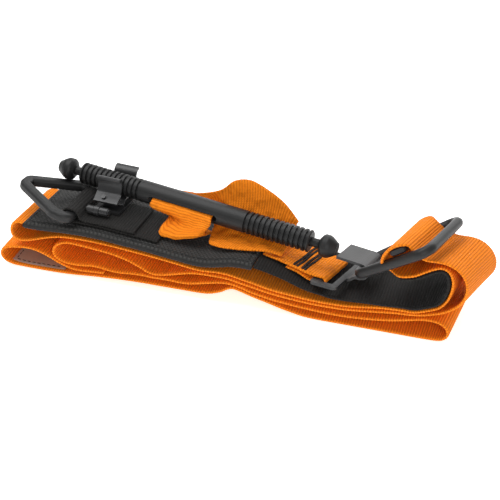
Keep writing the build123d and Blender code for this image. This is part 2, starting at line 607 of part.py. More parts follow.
def make_slider_bar():
    slider = slider_blank(0.0, 1.3)
    slider = chamfer(slider.faces().sort_by(Axis.Y)[0].edges(), 0.5)
    return SLIDER_PLANE.location * slider


# ---------------------------------------------------------------------------
# Inner band: through the rod slot, hump behind the rod, down to the tab
# ---------------------------------------------------------------------------
SLOT_XS = (-49.5, -42.5, -35.0, -27.5, -20.2)       # layout x of the points in the slot


def slot_row(dy, dz):
    """Row across the band, offset from the rod axis."""
    return [rod_point(x) + Vector(0, dy, dz) for x in SLOT_XS]


# rows across the band, in order along it: five points (x, y, z) each
BAND_BEFORE_SLOT = [
    [(-36.4, 8.0, 19.7), (-32.5, 7.0, 19.6), (-28.8, 6.0, 18.9), (-25.2, 5.0, 18.6),
     (-21.5, 4.0, 18.1)],
    [(-40.0, 5.8, 23.0), (-42.3, -9.6, 23.3), (-35.5, -11.0, 22.3), (-27.6, -9.2, 23.0),
     (-22.2, -6.5, 24.0)],
    [(-43.5, 3.4, 25.0), (-38.8, 0.8, 25.0), (-33.6, -3.6, 25.0), (-28.6, -5.4, 25.3),
     (-21.8, -6.6, 25.9)],
]
BAND_IN_SLOT = [slot_row(-7.0, -2.4), slot_row(-5.4, 0.0), slot_row(0.0, 0.0),
                slot_row(5.4, 0.0)]
BAND_AFTER_SLOT = [
    [(-46.5, 12.4, 32.2), (-40.0, 12.2, 31.6), (-33.2, 11.8, 31.0), (-26.6, 10.8, 29.8),
     (-21.2, 9.6, 27.8)],
    [(-34.0, 13.4, 31.6), (-29.0, 13.2, 31.4), (-25.2, 12.2, 29.0), (-22.6, 9.2, 24.8),
     (-20.8, 4.4, 22.2)],
    [(-21.6, 13.8, 35.0), (-20.4, 13.4, 32.0), (-19.4, 10.4, 26.4), (-19.2, 2.6, 21.0),
     (-20.0, -7.6, 21.6)],
    [(-14.6, 13.8, 41.2), (-14.2, 13.2, 35.4), (-14.0, 9.6, 27.0), (-14.6, 0.8, 20.8),
     (-16.2, -10.6, 22.0)],
    [(-7.0, 13.8, 42.8), (-6.8, 12.8, 35.0), (-7.0, 8.8, 26.4), (-8.0, -0.4, 21.5),
     (-10.4, -12.0, 22.7)],
    [(1.0, 13.6, 39.4), (1.0, 12.0, 33.0), (0.6, 7.8, 25.8), (-0.2, -1.2, 21.6),
     (-2.2, -11.4, 22.9)],
    [(9.4, 12.5, 34.2), (8.2, 10.4, 29.0), (8.0, 6.2, 24.2), (7.8, -1.8, 21.6),
     (6.6, -9.2, 22.4)],
    [(16.4, 9.6, 28.0), (14.4, 7.6, 24.2), (14.2, 3.2, 21.6), (14.0, -2.8, 20.8),
     (13.4, -8.6, 21.0)],
]


def make_inner_band():
    return sheet(smooth_rows(BAND_BEFORE_SLOT + BAND_IN_SLOT + BAND_AFTER_SLOT, 2), BAND_T)


# ---------------------------------------------------------------------------
# Stitched tab: folded round the left bar of the hook plate's foot.
# Profiles are (x, z) in the hook plate's frame.
# ---------------------------------------------------------------------------
TAB_MID_Y = -3.0
TAB_YS = [TAB_MID_Y - TAB_W / 2 + TAB_W * k / 12 for k in range(13)]
TAB_TURN_X = -14.1
TAB_TURN_R = HOOK_T / 2 + TAB_T / 2 + 0.20
TAB_RIGID_X = -18.5     # left of this the tab settles on what lies below
TAB_END_X = -43.0       # left end of the upper layer
TAB_FULL_X = -33.5      # right of this the upper layer clears the lower one
TAB_LAYER = TAB_T + 0.12
TAB_OVER = catmull([(TAB_END_X, -0.6), (-38.0, -1.2), (-32.0, -2.0), (-26.0, -2.9),
                    (-21.0, FOOT_Z + TAB_TURN_R + 0.25), (-17.5, FOOT_Z + TAB_TURN_R),
                    (-15.0, FOOT_Z + TAB_TURN_R)], 3)
TAB_TURN = [(TAB_TURN_X + TAB_TURN_R * math.cos(math.radians(90 - 22.5 * k)),
             FOOT_Z + TAB_TURN_R * math.sin(math.radians(90 - 22.5 * k))) for k in range(9)]
TAB_UNDER = catmull([(-15.0, FOOT_Z - TAB_TURN_R), (-17.5, FOOT_Z - TAB_TURN_R),
                     (-21.0, FOOT_Z - TAB_TURN_R + 0.35), (-26.0, -4.55), (-31.5, -3.65)], 3)
TACK_SPANS = ((-28.4, -26.9), (-23.6, -22.1))       # x of the two bar tacks


def tab_row(x, z, lift):
    """Row across the tab, kept lift above the webbing left of TAB_RIGID_X."""
    row = [HOOK_ORIGIN + HOOK_X_DIR * x + BUCKLE_ACROSS * y + HOOK_Z_DIR * z for y in TAB_YS]
    if x > TAB_RIGID_X:
        return row
    return [Vector(p.X, p.Y, max(p.Z, web_top(p.X, p.Y) + lift)) for p in row]


def over_lift(x):
    """Lift of the upper layer: it climbs over the end of the lower one."""
    share = min(1.0, max(0.0, (x - TAB_END_X) / (TAB_FULL_X - TAB_END_X)))
    return TAB_T / 2 + 0.18 + TAB_LAYER * share


def make_tab_and_tacks():
    """The folded tab and the thread of two bar tacks across its upper layer."""
    over = [tab_row(x, z, over_lift(x)) for x, z in TAB_OVER]
    rest = [tab_row(x, z, TAB_T / 2 + 0.12) for x, z in TAB_TURN + TAB_UNDER]
    stand_off = HOOK_Z_DIR * (TAB_T / 2 + THREAD_T / 2 + 0.10)
    tacks = Part()
    for x0, x1 in TACK_SPANS:
        rows = []
        for x in (x0, (x0 + x1) / 2, x1):
            i = next(i for i in range(len(TAB_OVER) - 1)
                     if TAB_OVER[i][0] <= x <= TAB_OVER[i + 1][0])
            u = (x - TAB_OVER[i][0]) / (TAB_OVER[i + 1][0] - TAB_OVER[i][0])
            rows.append([over[i][j] * (1 - u) + over[i + 1][j] * u + stand_off
                         for j in range(1, 12)])
        tacks += sheet(rows, THREAD_T)
    return sheet(over + rest, TAB_T), tacks


# ---------------------------------------------------------------------------
# Build and save
# ---------------------------------------------------------------------------
frame_room = frame_tube(BAR_R + FRAME_ROOM)
slider_room = SLIDER_PLANE.location * slider_blank(SLIDER_ROOM, 1.4)
clip_base, clip_rear_jaw, clip_rear_rivets = make_clip_base_and_rear()
clip_front_jaw, clip_tang, clip_tang_rivet = make_clip_front()
hook_tab, tab_tacks = make_tab_and_tacks()

pieces = {
    "main_strap": make_main_strap(frame_room, slider_room),
    "pad_sleeve": make_pad_sleeve(),
    "base_webbing": make_base_webbing(frame_room),
    "label_patch": make_label_patch(),
    "windlass_rod": make_windlass_rod(),
    "keeper_webbing": make_keeper_webbing(),
    "tri_ring": make_tri_ring(),
    "clip_base": clip_base,
    "clip_rear_jaw": clip_rear_jaw,
    "clip_rear_rivets": clip_rear_rivets,
    "clip_front_jaw": clip_front_jaw,
    "clip_tang": clip_tang,
    "clip_tang_rivet": clip_tang_rivet,
    "clip_pin": make_clip_pin(),
    "hook_plate": make_hook_plate(),
    "buckle_frame": frame_tube(BAR_R),
    "slider_bar": make_slider_bar(),
    "inner_band": make_inner_band(),
    "hook_tab": hook_tab,
    "tab_tacks": tab_tacks,
    "sleeve_bartack": make_sleeve_bartack(),
}
for name, shape in pieces.items():
    placed = shape.moved(Location(LAYOUT_SHIFT))
    placed.label = name
    export_step(placed, f"parts/{name}.step")
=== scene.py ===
"""A bundle of folded orange webbing with a mesh sleeve, black webbing, a rod and metal fittings.

The bundle is laid out in mm: x runs along it, y from the front edge (-19) to the back edge (+19)
and z up, with the floor at z = -BED. to_frame() turns layout mm into the shared frame's metres.
"""
import bpy
import math
import numpy as np
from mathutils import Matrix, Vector

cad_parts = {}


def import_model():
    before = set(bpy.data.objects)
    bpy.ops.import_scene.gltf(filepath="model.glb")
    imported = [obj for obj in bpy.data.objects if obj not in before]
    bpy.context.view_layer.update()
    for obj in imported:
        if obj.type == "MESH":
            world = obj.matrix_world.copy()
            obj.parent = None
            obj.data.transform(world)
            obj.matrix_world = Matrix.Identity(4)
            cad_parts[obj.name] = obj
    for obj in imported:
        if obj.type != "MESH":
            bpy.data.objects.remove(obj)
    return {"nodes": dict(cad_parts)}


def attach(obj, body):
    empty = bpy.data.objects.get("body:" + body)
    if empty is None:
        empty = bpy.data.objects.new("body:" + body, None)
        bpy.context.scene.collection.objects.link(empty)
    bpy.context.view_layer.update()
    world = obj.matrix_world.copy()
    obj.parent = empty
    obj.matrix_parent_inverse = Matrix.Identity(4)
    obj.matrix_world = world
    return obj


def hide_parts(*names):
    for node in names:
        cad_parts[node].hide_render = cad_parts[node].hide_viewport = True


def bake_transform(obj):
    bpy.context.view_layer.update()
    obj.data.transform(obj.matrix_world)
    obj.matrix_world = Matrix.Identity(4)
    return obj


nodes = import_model()["nodes"]
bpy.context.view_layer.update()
MAIN = "strap_bundle"

BED = 2.48                # depth of the floor below the layout's zero
SHIFT = np.array([7.28, 0.805, BED])
BACK_SCALE = 0.80         # height of a back edge over the floor, as a share of the front edge's
HALF = 19.0               # half the webbing's width
STRAP_T = 1.3             # thicknesses
BASE_T = 1.4
KEEP_T = 1.4
SLEEVE_T = 3.9
TAB_T = 1.0
ORANGE_RIB = 1.2          # rib pitches along the webbing
BLACK_RIB = 1.25
FLOAT_LENGTH = 1.9        # pitch of the mesh's floats along a row
FLOAT_ROW = 1.25          # pitch of its rows
ROWS_PER_RIB = 5          # mesh rows to one rib or float
UV_MM = 10.0              # mm to one UV unit


# ---------------------------------------------------------------------------
# Curves and grids; a grid is (rows along, columns across, xyz)
# ---------------------------------------------------------------------------
def to_frame(point):
    return (np.asarray(point, float) + SHIFT) / 1000.0


def catmull(points, per_span=14):
    """Catmull-Rom curve through the points, with its end points doubled."""
    p = np.asarray(points, float)
    last = len(p) - 1
    out = []
    for i in range(last):
        p0, p1, p2, p3 = p[max(i - 1, 0)], p[i], p[i + 1], p[min(i + 2, last)]
        for k in range(per_span):
            u = k / per_span
            out.append(0.5 * (2 * p1 + (p2 - p0) * u + (2 * p0 - 5 * p1 + 4 * p2 - p3) * u * u
                              + (3 * p1 - p0 - 3 * p2 + p3) * u ** 3))
    out.append(p[-1])
    return np.array(out)


def back_height(z):
    return (z + BED) * BACK_SCALE - BED


def station(x, z, drop=0.0):
    """Front x, front z, back x, back z, with the back edge lowered in the usual way."""
    return (x, z, x, back_height(z) - drop)


def both_edges(points):
    return [p if len(p) == 4 else station(*p) for p in points]


def offset_line(line, distance):
    """A 2D line moved sideways along its normals."""
    padded = np.concatenate([line[:1], line, line[-1:]])
    tangent = padded[2:] - padded[:-2]
    tangent /= np.linalg.norm(tangent, axis=1, keepdims=True)
    return line + distance * np.stack([-tangent[:, 1], tangent[:, 0]], 1)


def rule(stations, y):
    """Grid on the straight lines between front and back edges, at depths y (rows, columns)."""
    u = (y + HALF) / (2 * HALF)
    x = stations[:, 0:1] + (stations[:, 2:3] - stations[:, 0:1]) * u
    z = stations[:, 1:2] + (stations[:, 3:4] - stations[:, 1:2]) * u
    return np.stack([x, y, z], 2)


def resample(grid, step):
    """Rows at even steps of length, and the length at each row."""
    middle = grid.mean(1)
    length = np.concatenate([[0], np.cumsum(np.linalg.norm(np.diff(middle, axis=0), axis=1))])
    count = max(int(round(length[-1] / step)), 2)
    even = np.linspace(0, length[-1], count + 1)
    out = np.empty((count + 1,) + grid.shape[1:])
    for j in range(grid.shape[1]):
        for c in range(3):
            out[:, j, c] = np.interp(even, length, grid[:, j, c])
    return out, even


def smooth_rows(grid, times):
    for _ in range(times):
        smoothed = grid.copy()
        smoothed[1:-1] = (grid[:-2] + 2 * grid[1:-1] + grid[2:]) / 4
        grid = smoothed
    return grid


def normals(grid):
    n = np.cross(np.gradient(grid, axis=0), np.gradient(grid, axis=1))
    return n / np.maximum(np.linalg.norm(n, axis=2, keepdims=True), 1e-9)


def across(start, end, count, hem=(0.0, 0.22, 0.6, 1.2)):
    """Column positions across a web, closer together at its selvedges."""
    inside = np.linspace(start + hem[-1], end - hem[-1], count)
    close = np.array(hem[:-1])
    return np.concatenate([start + close, inside, end - close[::-1]])


def edge_distance(values):
    return np.minimum(values - values[0], values[-1] - values)


def taper(distance, reach, thin):
    """Share of full thickness: thin at the edge, 1 from reach inwards."""
    return thin + (1 - thin) * np.clip(distance / reach, 0, 1) ** 0.5


def ripple(x):
    return np.abs(np.sin(np.pi * x))


def ribbed(length, columns, thick, pitch, depth, reach=0.75, thin=0.42):
    """Half thickness of ribbed cloth with thinner side edges."""
    rib = thick / 2 - depth * (1 - ripple(length / pitch))
    return rib[:, None] * taper(edge_distance(columns), reach, thin)


# ---------------------------------------------------------------------------
# Meshes
# ---------------------------------------------------------------------------
def smooth_object(mesh):
    mesh.polygons.foreach_set("use_smooth", np.ones(len(mesh.polygons), bool))
    mesh.validate()
    mesh.update()
    piece = bpy.data.objects.new(mesh.name, mesh)
    bpy.context.scene.collection.objects.link(piece)
    return piece


def quads(*corners):
    return np.stack([c.ravel() for c in corners], 1)


def cloth_mesh(name, grid, length, columns, half_t, normal):
    """Closed mesh round a centre grid, half_t thick to each side."""
    offset = normal * half_t[..., None]
    verts = np.concatenate([to_frame(grid + offset), to_frame(grid - offset)]).reshape(-1, 3)
    top = np.arange(len(verts) // 2).reshape(grid.shape[:2])
    low = top + top.size
    faces = np.concatenate([
        quads(top[:-1, :-1], top[1:, :-1], top[1:, 1:], top[:-1, 1:]),
        quads(low[:-1, :-1], low[:-1, 1:], low[1:, 1:], low[1:, :-1]),
        quads(top[:-1, 0], low[:-1, 0], low[1:, 0], top[1:, 0]),
        quads(top[:-1, -1], top[1:, -1], low[1:, -1], low[:-1, -1]),
        quads(top[0, :-1], top[0, 1:], low[0, 1:], low[0, :-1]),
        quads(top[-1, :-1], low[-1, :-1], low[-1, 1:], top[-1, 1:])])
    mesh = bpy.data.meshes.new(name)
    mesh.vertices.add(len(verts))
    mesh.vertices.foreach_set("co", verts.astype(np.float32).ravel())
    mesh.loops.add(faces.size)
    mesh.loops.foreach_set("vertex_index", faces.astype(np.int32).ravel())
    mesh.polygons.add(len(faces))
    mesh.polygons.foreach_set("loop_start", np.arange(0, faces.size, 4, dtype=np.int32))
    mesh.update(calc_edges=True)
    uv = np.stack(np.broadcast_arrays(length[:, None], columns[None, :]), 2).reshape(-1, 2) / UV_MM
    uv = np.concatenate([uv, uv])
    layer = mesh.uv_layers.new(name="UVMap")
    layer.data.foreach_set("uv", uv[faces.ravel()].astype(np.float32).ravel())
    return smooth_object(mesh)


def web(names, stations, thick, y_range, pitch, depth, count, step=None, limits=None, soften=2,
        cuts=()):
    """Ribbed webbing ruled between its edges, in lengths that meet at the cuts.

    limits holds the front and back y at each station, where they leave y_range."""
    y0, y1 = y_range
    columns = across(y0, y1, count)
    limits = catmull(limits or [y_range] * len(stations))
    front, back = limits[:, 0:1], limits[:, 1:2]
    y = front + (back - front) * (columns - y0) / (y1 - y0)
    grid, length = resample(rule(catmull(stations), y), step or pitch / ROWS_PER_RIB)
    grid = smooth_rows(grid, soften)
    half_t = ribbed(length, columns, thick, pitch, depth)
    normal = normals(smooth_rows(grid, 3))
    middle = (grid[:, 0] + grid[:, -1]) / 2
    rows = [0]
    rows += [int(np.argmin(np.linalg.norm(middle - np.array(q), axis=1))) for q in cuts]
    rows.append(len(length) - 1)
    return [cloth_mesh(name, grid[a:b + 1], length[a:b + 1], columns, half_t[a:b + 1],
                       normal[a:b + 1])
            for name, a, b in zip(names, rows[:-1], rows[1:])]


def tubes(name, lines, radius, sides=6):
    """Closed round threads along polylines, narrowed at their ends."""
    verts, faces = [], []
    lean = np.array([0.13, 0.21, 0.97])   # off every thread's direction
    for line in lines:
        p = np.asarray(line, float)
        tangent = np.gradient(p, axis=0)
        tangent /= np.maximum(np.linalg.norm(tangent, axis=1, keepdims=True), 1e-9)
        side = np.cross(tangent, lean)
        side /= np.maximum(np.linalg.norm(side, axis=1, keepdims=True), 1e-9)
        up = np.cross(tangent, side)
        first, last = len(verts), len(p) - 1
        for i in range(last + 1):
            r = radius * (0.55 if i in (0, last) else 1.0)
            for k in range(sides):
                turn = 2 * math.pi * k / sides
                spoke = math.cos(turn) * side[i] + math.sin(turn) * up[i]
                verts.append(tuple(to_frame(p[i] + r * spoke)))
        for i in range(last):
            for k in range(sides):
                q = first + i * sides
                k2 = (k + 1) % sides
                faces.append((q + k, q + k2, q + sides + k2, q + sides + k))
        faces.append(tuple(first + k for k in range(sides))[::-1])
        faces.append(tuple(first + last * sides + k for k in range(sides)))
    mesh = bpy.data.meshes.new(name)
    mesh.from_pydata(verts, [], faces)
    return smooth_object(mesh)


# ---------------------------------------------------------------------------
# Materials
# ---------------------------------------------------------------------------
class Shader:
    """A Principled material; an input may be fed a number, a colour or a socket."""

    def __init__(self, name, inputs):
        self.material = bpy.data.materials.new(name)
        self.material.use_nodes = True
        self.tree = self.material.node_tree
        self.tree.nodes.clear()
        output = self.node("OutputMaterial")
        self.surface = self.node("BsdfPrincipled", inputs)
        self.feed(output.inputs[0], self.surface.outputs[0])
        self.coord = self.node("TexCoord").outputs["Object"]

    def feed(self, socket, value):
        if isinstance(value, bpy.types.NodeSocket):
            self.tree.links.new(value, socket)
        elif isinstance(value, tuple):
            socket.default_value = value + (1.0,)
        else:
            socket.default_value = value

    def node(self, kind, inputs=(), **settings):
        node = self.tree.nodes.new("ShaderNode" + kind)
        for key, value in settings.items():
            setattr(node, key, value)
        for key, value in dict(inputs).items():
            self.feed(node.inputs[key], value)
        return node

    def math(self, operation, *values):
        return self.node("Math", enumerate(values), operation=operation).outputs[0]

    def add(self, base, value, weight):
        return self.math("ADD", base, self.math("MULTIPLY", value, weight))

    def ripple(self, value):
        return self.math("ABSOLUTE", self.math("SINE", self.math("MULTIPLY", value, math.pi)))

    def uv(self):
        uv_map = self.node("UVMap", uv_map="UVMap")
        split = self.node("SeparateXYZ", {0: uv_map.outputs[0]})
        return split.outputs[0], split.outputs[1]

    def noise(self, scale, detail=3.0):
        inputs = {"Scale": scale, "Detail": detail, "Vector": self.coord}
        return self.node("TexNoise", inputs).outputs["Fac"]

    def mix(self, share, a, b):
        return self.node("Mix", {0: share, 6: a, 7: b}, data_type="RGBA").outputs[2]

    def colour(self, share, a, b):
        self.feed(self.surface.inputs["Base Color"], self.mix(share, a, b))

    def bump(self, height, distance, strength):
        inputs = {"Strength": strength, "Distance": distance, "Height": height}
        node = self.node("Bump", inputs)
        self.feed(self.surface.inputs["Normal"], node.outputs[0])
        return node


def scaled(colour, factor):
    return tuple(c * factor for c in colour)


def webbing_mat(name, painted_shade, light, pitch, yarn, sheen, roughness, contrast, crumple=0.0):
    """Cross ribs with yarns staggered from rib to rib, the valleys of both painted darker as shade; crumple
    is the depth of broad dents.
    """
    shader = Shader(name, {"Roughness": roughness, "Specular IOR Level": 0.12,
                           "Sheen Weight": sheen, "Sheen Roughness": 0.5})
    u, v = shader.uv()
    along = shader.math("MULTIPLY", u, UV_MM)
    over = shader.math("MULTIPLY", v, UV_MM)
    ribs = shader.math("DIVIDE", along, pitch)
    crest = shader.ripple(ribs)
    stagger = shader.math("MULTIPLY", shader.math("FLOOR", ribs), 0.5)
    grain = shader.ripple(shader.math("ADD", shader.math("DIVIDE", over, yarn), stagger))
    height = shader.add(shader.math("MULTIPLY", crest, 0.5), grain, weight=0.5)
    mottle = shader.noise(scale=60.0)
    fuzz = shader.noise(scale=900.0, detail=2.0)
    # painted shade: rib and yarn valleys get the darker colour, crests the lighter; mottle and fuzz add
    # random tone
    shade = shader.add(shader.math("MULTIPLY", height, contrast), mottle, weight=0.30)
    shade = shader.math("MINIMUM", shader.add(shade, fuzz, weight=0.18), 1.0)
    shader.colour(shade, painted_shade, light)
    fine = shader.bump(shader.add(height, fuzz, weight=0.35), distance=0.00022, strength=0.8)
    if crumple:
        broad = shader.node("Bump", {"Strength": 1.0, "Distance": crumple,
                                     "Height": shader.noise(scale=165.0, detail=1.5)})
        shader.feed(fine.inputs["Normal"], broad.outputs[0])
    return shader.material


def mesh_mat(name, painted_shade, light):
    """Woven mesh: short floats in staggered rows, their crests painted lighter as a highlight and the gaps
    between them painted darker as shade.
    """
    shader = Shader(name, {"Roughness": 0.66, "Specular IOR Level": 0.30})
    u, v = shader.uv()
    along = shader.math("DIVIDE", shader.math("MULTIPLY", u, UV_MM), FLOAT_LENGTH)
    rows = shader.math("DIVIDE", shader.math("MULTIPLY", v, UV_MM), FLOAT_ROW)
    stagger = shader.math("MULTIPLY", shader.math("FLOOR", rows), 0.5)
    floats = shader.ripple(shader.math("ADD", along, stagger))
    ridges = shader.ripple(rows)
    flatten = 0.6   # power that broadens the crests
    height = shader.math("MULTIPLY", shader.math("POWER", floats, flatten),
                         shader.math("POWER", ridges, flatten))
    fuzz = shader.noise(scale=700.0, detail=2.0)
    # painted highlight on the float crests and painted shade in the gaps between them; fuzz adds random tone
    shade = shader.add(shader.math("MULTIPLY", height, 0.8), fuzz, weight=0.3)
    shader.colour(shader.math("MINIMUM", shade, 1.0), painted_shade, light)
    shader.bump(shader.add(height, fuzz, weight=0.3), distance=0.00035, strength=0.9)
    return shader.material


def hard_mat(name, base, edge, roughness, metallic, grain=900.0, depth=0.00004):
    """Dark coated surface with a fine grain and lighter convex edges."""
    shader = Shader(name, {"Metallic": metallic, "Specular IOR Level": 0.30})
    mottle = shader.noise(scale=90.0, detail=4.0)
    fine = shader.noise(scale=grain)
    pointiness = shader.node("NewGeometry").outputs["Pointiness"]
    flat, gain = 0.52, 3.15   # pointiness where wear starts, and how fast it grows
    wear = shader.math("MULTIPLY", shader.math("SUBTRACT", pointiness, flat), gain)
    wear = shader.math("MAXIMUM", shader.math("MINIMUM", wear, 1.0), 0.0)
    body = shader.mix(mottle, scaled(base, 0.8), scaled(base, 1.2))
    shader.colour(wear, body, edge)
    swing = 0.14              # spread of roughness about its middle
    shader.feed(shader.surface.inputs["Roughness"],
                shader.add(roughness - swing / 2, mottle, weight=swing))
    shader.bump(fine, distance=depth, strength=0.7)
    return shader.material


def label_mat(name):
    shader = Shader(name, {"Roughness": 0.8})
    wave = UV_MM * math.pi / 0.35   # threads 0.35 mm apart
    u, v = [shader.math("SINE", shader.math("MULTIPLY", axis, wave)) for axis in shader.uv()]
    weave = shader.math("MULTIPLY", u, v)
    shader.colour(shader.noise(scale=120.0), (0.30, 0.22, 0.17), (0.42, 0.33, 0.27))
    shader.bump(weave, distance=0.00005, strength=0.6)
    return shader.material


def thread_mat(name, base):
    shader = Shader(name, {"Roughness": 0.7})
    fibre = shader.noise(scale=1500.0, detail=2.0)
    shader.colour(fibre, scaled(base, 0.6), scaled(base, 1.6))
    shader.bump(fibre, distance=0.00008, strength=0.6)
    return shader.material


def floor_mat(name):
    shader = Shader(name, {"Roughness": 0.9, "Emission Color": (1.0, 1.0, 1.0),
                           "Emission Strength": 0.62})
    shader.colour(shader.noise(scale=3.0), (0.93, 0.93, 0.925), (0.95, 0.95, 0.945))
    return shader.material


# each webbing's darker colour is the painted shade of its rib and yarn valleys
orange_look = dict(pitch=ORANGE_RIB, yarn=0.62, sheen=0.0, roughness=0.8, contrast=0.85)
ORANGE = webbing_mat("orange_webbing", painted_shade=(0.24, 0.032, 0.002), light=(0.97, 0.262, 0.013),
                     **orange_look)
CREASED = webbing_mat("orange_webbing_creased", painted_shade=(0.30, 0.045, 0.002),
                      light=(0.97, 0.270, 0.012), crumple=0.0035, **orange_look)
BLACKWEB = webbing_mat("black_webbing", painted_shade=(0.001, 0.001, 0.001), light=(0.020, 0.019, 0.018),
                       pitch=BLACK_RIB, yarn=0.70, sheen=0.02, roughness=0.75, contrast=0.9)
# the mesh's lighter colour is a painted highlight on its floats, its darker one painted shade in the gaps
MESH = mesh_mat("black_mesh", painted_shade=(0.0005, 0.0005, 0.0005), light=(0.045, 0.044, 0.042))
ROD = hard_mat("rod_anodised", base=(0.014, 0.014, 0.014), edge=(0.05, 0.05, 0.05),
               roughness=0.46, metallic=0.2)
PLATE = hard_mat("coated_sheet", base=(0.020, 0.020, 0.021), edge=(0.09, 0.09, 0.09),
                 roughness=0.40, metallic=0.3, grain=1400.0, depth=0.00006)
CLIP = hard_mat("clip_sheet", base=(0.012, 0.012, 0.013), edge=(0.08, 0.08, 0.08),
                roughness=0.30, metallic=0.3)
WIRE = hard_mat("coated_bar", base=(0.018, 0.018, 0.018), edge=(0.06, 0.06, 0.06),
                roughness=0.44, metallic=0.2)
RING = hard_mat("ring_moulded", base=(0.016, 0.016, 0.016), edge=(0.04, 0.04, 0.04),
                roughness=0.48, metallic=0.05)
PIN = hard_mat("pin_steel", base=(0.020, 0.020, 0.021), edge=(0.10, 0.10, 0.10),
               roughness=0.28, metallic=0.4)
LABEL = label_mat("label_cloth")
THREAD = thread_mat("dark_thread", base=(0.012, 0.008, 0.007))
BLACKTHREAD = thread_mat("black_thread", base=(0.004, 0.004, 0.004))

# ---------------------------------------------------------------------------
# Long orange webbing
# ---------------------------------------------------------------------------
# Stations along the middle of its thickness: x, z or front x, front z, back x, back z
STRAP_PATH = both_edges([
    (-45.0, 20.30), (-57.6, 21.55), (-67.0, 22.60), (-76.6, 22.95), (-86.3, 22.80),
    (-96.2, 22.05), (-101.5, 21.95), (-106.5, 22.70), (-109.4, 21.40), (-110.8, 18.20),
    (-110.4, 15.10), (-108.6, 13.40), (-105.6, 13.00), (-101.0, 14.10), (-96.0, 15.90),
    (-91.0, 17.50), (-86.0, 18.50), (-80.0, 18.90), (-72.0, 18.90), (-62.5, 18.30),
    (-53.0, 17.40), (-43.7, 16.40), (-34.4, 15.20), (-25.1, 13.80), (-20.5, 13.40),
    (-15.9, 13.70), (-11.3, 13.95), (-6.8, 13.50), (2.3, 11.60), (11.3, 9.60),
    (20.3, 8.60), (29.2, 7.80), (38.0, 7.70), (46.8, 8.15),
    (59.6, 10.20), (68.0, 10.80), (74.0, 11.00, 74.5, 8.60),
    (79.6, 13.10, 81.0, 9.60), (84.0, 15.50, 87.0, 10.90), (86.7, 19.40, 91.3, 13.40),
    (88.0, 23.80, 93.6, 17.00), (88.4, 28.60, 93.2, 20.80), (87.4, 32.60, 90.8, 23.70),
    (85.7, 34.80, 87.4, 24.80), (83.3, 35.60, 84.2, 24.60), (80.6, 34.80, 81.2, 23.90),
    (77.0, 32.60, 78.0, 23.10), (72.0, 29.40, 74.4, 22.50), (66.0, 27.60, 71.0, 22.60),
    (61.0, 27.20, 68.4, 23.40), (58.3, 29.20, 67.2, 25.30), (58.1, 32.60, 67.4, 28.00),
    (58.9, 36.90, 68.2, 31.50), (61.2, 40.60, 70.6, 34.10), (64.7, 43.20, 73.7, 35.50),
    (68.3, 43.40, 76.9, 35.10), (70.8, 41.40, 79.2, 32.40), (73.8, 39.30, 81.8, 29.60),
    (77.0, 38.30, 84.6, 27.90), (80.6, 38.40, 88.0, 27.70), (84.4, 38.20, 91.6, 27.70),
    (88.0, 36.90, 95.2, 26.90), (90.9, 34.80, 98.8, 24.70), (93.1, 31.60, 101.6, 21.20),
    (94.2, 27.50, 103.0, 17.00), (93.8, 23.00, 102.6, 12.70), (92.0, 18.80, 100.0, 9.20),
    (88.6, 15.30, 95.4, 7.60), (84.7, 12.80, 90.0, 7.50), (80.8, 11.30, 84.6, 7.75),
    (76.5, 10.00, 78.6, 7.45), (71.5, 9.30), (66.0, 8.90),
    (59.6, 8.00), (46.8, 6.30), (38.0, 5.85), (29.2, 5.90), (20.3, 6.55),
    (11.3, 7.55), (2.3, 9.30), (-2.3, 10.20), (-6.8, 11.20), (-11.4, 11.60),
    (-15.9, 11.60), (-20.5, 11.50), (-25.2, 10.90), (-29.9, 9.70), (-34.6, 8.30),
    (-39.4, 7.10), (-44.1, 6.95), (-48.7, 9.20), (-53.4, 11.40), (-58.0, 12.90),
    (-62.7, 14.00), (-69.9, 14.90), (-77.0, 15.60), (-81.8, 15.90), (-85.3, 15.40),
    (-88.4, 13.90), (-90.4, 11.60), (-91.0, 9.20), (-90.0, 6.90), (-87.4, 5.20),
    (-83.6, 4.40), (-78.3, 4.50), (-72.2, 5.30), (-68.4, 5.10), (-63.6, 4.40),
    (-58.8, 4.30), (-53.9, 4.80), (-49.1, 5.10), (-44.3, 4.90), (-39.6, 4.95),
    (-34.8, 4.95), (-30.1, 4.80), (-26.0, 5.10), (-20.5, 6.40), (-15.9, 7.60),
    (-11.4, 8.60), (-6.8, 8.80), (-2.3, 7.90), (2.3, 6.40), (11.3, 4.50),
    (20.4, 3.40), (29.3, 2.70), (38.2, 2.30), (47.0, 2.50), (56.0, 3.30),
    (64.3, 4.60), (72.6, 6.60), (76.8, 7.70, 78.0, 5.70), (80.9, 8.10, 83.4, 6.00),
    (84.6, 7.60, 88.6, 5.60), (87.2, 6.00, 92.2, 4.30), (88.6, 3.50, 93.8, 2.30),
    (88.4, 0.90, 93.4, 0.10), (86.6, -0.90, 91.0, -1.35), (83.5, -1.58, 86.8, -1.76),
    (77.6, -1.78, 79.0, -1.78), (69.0, -1.78, 69.5, -1.78), (60.0, -1.78, 60.0, -1.78),
    (51.6, -1.78, 51.6, -1.78), (42.8, -1.78, 42.8, -1.78), (34.0, -1.78, 34.0, -1.78),
    (26.5, -1.45), (20.5, -0.30), (15.9, 0.75), (11.4, 2.05), (6.8, 3.30), (2.3, 4.55),
    (-2.3, 6.00), (-5.8, 6.70), (-8.6, 5.70), (-11.5, 3.80), (-16.2, 2.00),
    (-20.9, 1.35), (-30.0, 1.25), (-39.8, 1.15), (-49.0, 1.10), (-59.0, 0.75),
    (-66.0, 0.30), (-73.7, -0.30), (-81.2, -1.05), (-88.7, -1.50), (-98.8, -1.65),
    (-106.5, -1.60), (-112.0, -1.35), (-115.6, -0.20), (-117.4, 1.80), (-117.4, 4.60),
    (-115.4, 6.90), (-111.5, 8.20), (-107.0, 8.90), (-102.4, 9.10), (-97.6, 8.10),
    (-92.8, 6.00), (-88.1, 3.60), (-83.3, 1.90), (-78.5, 1.50), (-73.0, 1.90), (-67.0, 2.35)])
